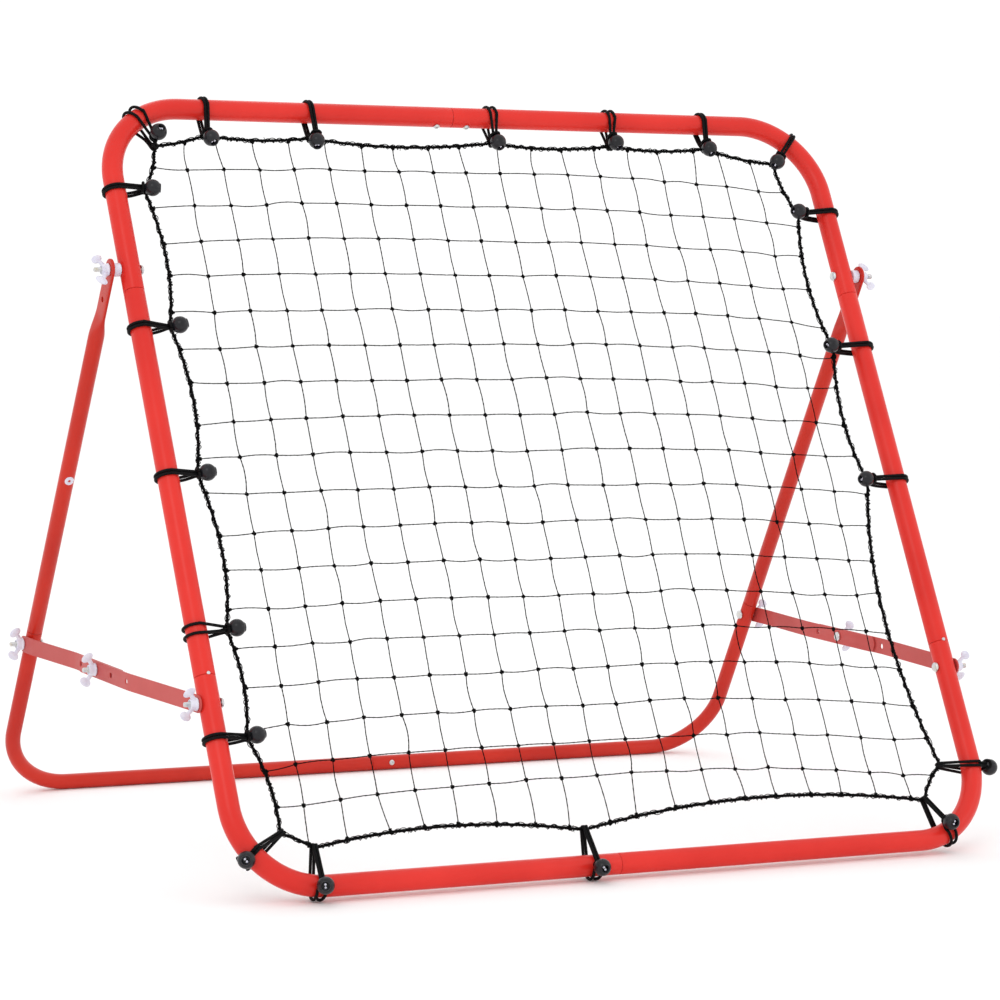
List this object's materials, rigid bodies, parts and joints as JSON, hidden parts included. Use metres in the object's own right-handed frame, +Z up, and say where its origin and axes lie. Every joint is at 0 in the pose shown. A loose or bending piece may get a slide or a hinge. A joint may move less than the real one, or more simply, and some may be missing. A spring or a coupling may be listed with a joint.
{
  "type": "pitch back rebounder",
  "caption": "Free-standing ball rebounder: a square knotted net held by elastic ball ties in a leaning tube frame, with a hinged rear stand, folding braces and wing nuts.",
  "frame": {"origin": "on the floor, below the middle of the whole part", "axes": "+X to the right seen from the playing side, +Y towards the rear stand, +Z up"},
  "size_m": [1.0816, 0.7722, 0.8811],
  "materials": {
    "frame_paint": "gloss powder coat",
    "stand_paint": "gloss powder coat",
    "brace_paint": "satin powder coat",
    "zinc_steel": "bright zinc plate",
    "white_nylon": "moulded nylon, satin",
    "net_twine": "twisted knotted twine",
    "edge_rope": "twisted rope",
    "tie_ball": "moulded, glossy"
  },
  "bodies": {
    "front_frame": {"front_upper_corner_left": "frame_paint", "front_lower_corner_left": "frame_paint", "front_side_tube_left": "frame_paint", "pivot_bolt_left": "zinc_steel", "front_brace_bolt_left": "zinc_steel", "pivot_spacer_left": "white_nylon", "front_upper_corner_right": "frame_paint", "front_lower_corner_right": "frame_paint", "front_side_tube_right": "frame_paint", "pivot_bolt_right": "zinc_steel", "front_brace_bolt_right": "zinc_steel", "pivot_spacer_right": "white_nylon", "top_bar_sleeve": "zinc_steel", "top_bar_screw_1": "zinc_steel", "top_bar_screw_2": "zinc_steel", "net": "net_twine", "net_edge_rope": "edge_rope", "ball_tie_top_left_corner": "tie_ball", "ball_tie_top_1": "tie_ball", "ball_tie_top_2": "tie_ball", "ball_tie_top_3": "tie_ball", "ball_tie_top_4": "tie_ball", "ball_tie_top_5": "tie_ball", "ball_tie_top_right_corner": "tie_ball", "ball_tie_right_1": "tie_ball", "ball_tie_right_2": "tie_ball", "ball_tie_right_3": "tie_ball", "ball_tie_right_4": "tie_ball", "ball_tie_bottom_right_corner": "tie_ball", "ball_tie_bottom_2": "tie_ball", "ball_tie_bottom_1": "tie_ball", "ball_tie_bottom_left_corner": "tie_ball", "ball_tie_left_1": "tie_ball", "ball_tie_left_2": "tie_ball", "ball_tie_left_3": "tie_ball", "ball_tie_left_4": "tie_ball", "ball_tie_left_5": "tie_ball"},
    "rear_stand": {"rear_leg_left": "stand_paint", "stand_floor_tube_left": "stand_paint", "rear_brace_bolt_left": "zinc_steel", "rear_leg_right": "stand_paint", "stand_floor_tube_right": "stand_paint", "rear_brace_bolt_right": "zinc_steel", "floor_tube_screw": "zinc_steel"},
    "front_brace_left": {"brace_front_bar_left": "brace_paint", "brace_middle_bolt_end_left": "zinc_steel"},
    "rear_brace_left": {"brace_rear_bar_left": "brace_paint", "brace_middle_bolt_left": "zinc_steel"},
    "pivot_wing_nut_left": {"pivot_wing_nut_left": "white_nylon"},
    "front_brace_wing_nut_left": {"front_brace_wing_nut_left": "white_nylon"},
    "rear_brace_wing_nut_left": {"rear_brace_wing_nut_left": "white_nylon"},
    "brace_middle_wing_nut_left": {"brace_middle_wing_nut_left": "white_nylon"},
    "front_brace_right": {"brace_front_bar_right": "brace_paint", "brace_middle_bolt_end_right": "zinc_steel"},
    "rear_brace_right": {"brace_rear_bar_right": "brace_paint", "brace_middle_bolt_right": "zinc_steel"},
    "pivot_wing_nut_right": {"pivot_wing_nut_right": "white_nylon"},
    "front_brace_wing_nut_right": {"front_brace_wing_nut_right": "white_nylon"},
    "rear_brace_wing_nut_right": {"rear_brace_wing_nut_right": "white_nylon"},
    "brace_middle_wing_nut_right": {"brace_middle_wing_nut_right": "white_nylon"}
  },
  "joints": [
    {"name": "stand_fold", "type": "hinge", "parent": "front_frame", "child": "rear_stand", "pos_m": [0, 0.0238, 0.67588], "axis": [-1, 0, 0], "range_deg": [0, 18]},
    {"name": "front_brace_left_turn", "type": "hinge", "parent": "front_frame", "child": "front_brace_left", "pos_m": [-0.5013, -0.24331, 0.2076], "axis": [1, 0, 0], "range_deg": [0, 31.4]},
    {"name": "rear_brace_left_turn", "type": "hinge", "parent": "rear_stand", "child": "rear_brace_left", "pos_m": [-0.5228, 0.27332, 0.20455], "axis": [-1, 0, 0], "range_deg": [0, 42.1]},
    {"name": "pivot_wing_nut_left_turn", "type": "hinge", "parent": "front_frame", "child": "pivot_wing_nut_left", "pos_m": [-0.5185, 0.0238, 0.67588], "axis": [-1, 0, 0], "continuous": true},
    {"name": "front_brace_wing_nut_left_turn", "type": "hinge", "parent": "front_frame", "child": "front_brace_wing_nut_left", "pos_m": [-0.5068, -0.24331, 0.2076], "axis": [-1, 0, 0], "continuous": true},
    {"name": "brace_middle_wing_nut_left_turn", "type": "hinge", "parent": "front_brace_left", "child": "brace_middle_wing_nut_left", "pos_m": [-0.5162, 0.04001, 0.20593], "axis": [-1, 0, 0], "continuous": true},
    {"name": "rear_brace_wing_nut_left_turn", "type": "hinge", "parent": "rear_stand", "child": "rear_brace_wing_nut_left", "pos_m": [-0.5283, 0.27332, 0.20455], "axis": [-1, 0, 0], "continuous": true},
    {"name": "front_brace_right_turn", "type": "hinge", "parent": "front_frame", "child": "front_brace_right", "pos_m": [0.5013, -0.24331, 0.2076], "axis": [1, 0, 0], "range_deg": [0, 31.4]},
    {"name": "rear_brace_right_turn", "type": "hinge", "parent": "rear_stand", "child": "rear_brace_right", "pos_m": [0.5228, 0.27332, 0.20455], "axis": [-1, 0, 0], "range_deg": [0, 42.1]},
    {"name": "pivot_wing_nut_right_turn", "type": "hinge", "parent": "front_frame", "child": "pivot_wing_nut_right", "pos_m": [0.5185, 0.0238, 0.67588], "axis": [1, 0, 0], "continuous": true},
    {"name": "front_brace_wing_nut_right_turn", "type": "hinge", "parent": "front_frame", "child": "front_brace_wing_nut_right", "pos_m": [0.5068, -0.24331, 0.2076], "axis": [1, 0, 0], "continuous": true},
    {"name": "brace_middle_wing_nut_right_turn", "type": "hinge", "parent": "front_brace_right", "child": "brace_middle_wing_nut_right", "pos_m": [0.5162, 0.04001, 0.20593], "axis": [1, 0, 0], "continuous": true},
    {"name": "rear_brace_wing_nut_right_turn", "type": "hinge", "parent": "rear_stand", "child": "rear_brace_wing_nut_right", "pos_m": [0.5283, 0.27332, 0.20455], "axis": [1, 0, 0], "continuous": true}
  ],
  "couplings": [
    {"joint": "front_brace_left_turn", "follows": "stand_fold", "ratio": 1.7359},
    {"joint": "rear_brace_left_turn", "follows": "stand_fold", "ratio": 2.3299},
    {"joint": "front_brace_right_turn", "follows": "stand_fold", "ratio": 1.7359},
    {"joint": "rear_brace_right_turn", "follows": "stand_fold", "ratio": 2.3299}
  ]
}
